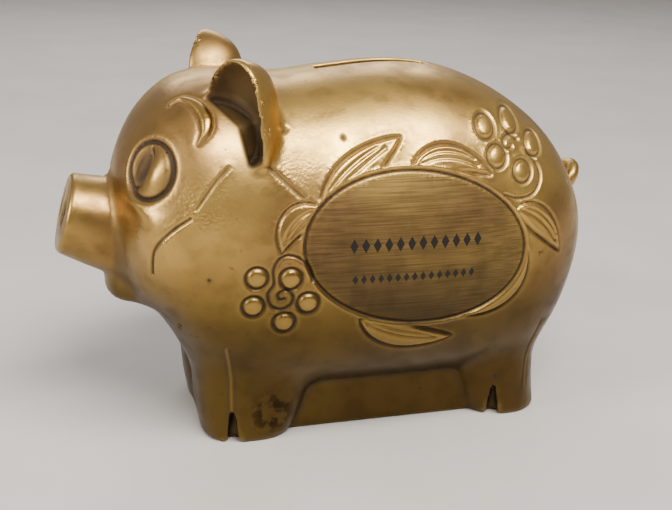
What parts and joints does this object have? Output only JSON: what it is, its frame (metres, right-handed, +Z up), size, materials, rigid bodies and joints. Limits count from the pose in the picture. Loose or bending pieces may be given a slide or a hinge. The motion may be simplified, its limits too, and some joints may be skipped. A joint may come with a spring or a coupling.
{
  "type": "piggy bank",
  "caption": "Cast-metal piggy bank with an antique brass finish, a coin slot in its back, and a locked steel hatch in its base.",
  "frame": {"origin": "on the floor, at the middle of the bounding box's underside, half way between snout and tail", "axes": "-X where the snout points, +Z up through the coin slot, +Y across the trunk to the pig's right"},
  "size_m": [0.1648, 0.082, 0.1148],
  "materials": {
    "antique_brass": "satin antique brass plating over cast zinc alloy, darker in the recesses",
    "plated_steel": "dull plated sheet steel",
    "zinc_plate": "bright zinc plate",
    "plug_brass": "machined brass",
    "spring_steel": "bright spring wire"
  },
  "bodies": {
    "casting": {"body_casting": "antique_brass", "base_plate": "plated_steel", "base_screws": "zinc_plate", "hinge_pin": "zinc_plate"},
    "hatch": {"hatch_door": "plated_steel", "lock_barrel": "zinc_plate", "barrel_washer": "zinc_plate", "barrel_nut": "zinc_plate"},
    "plug": {"lock_plug": "plug_brass", "wafer_1": "plug_brass", "wafer_2": "plug_brass", "wafer_3": "plug_brass", "wafer_4": "plug_brass", "wafer_springs": "spring_steel", "lock_cam": "plated_steel", "cam_washer": "zinc_plate", "cam_screw": "zinc_plate"}
  },
  "joints": [
    {"name": "hatch_swing", "type": "hinge", "parent": "casting", "child": "hatch", "pos_m": [-0.0149, 0, 0.003], "axis": [0, 1, 0], "range_deg": [0, 100]},
    {"name": "lock_turn", "type": "hinge", "parent": "hatch", "child": "plug", "pos_m": [0.0233, 0, 0.003], "axis": [0, 0, -1], "range_deg": [0, 90]}
  ]
}
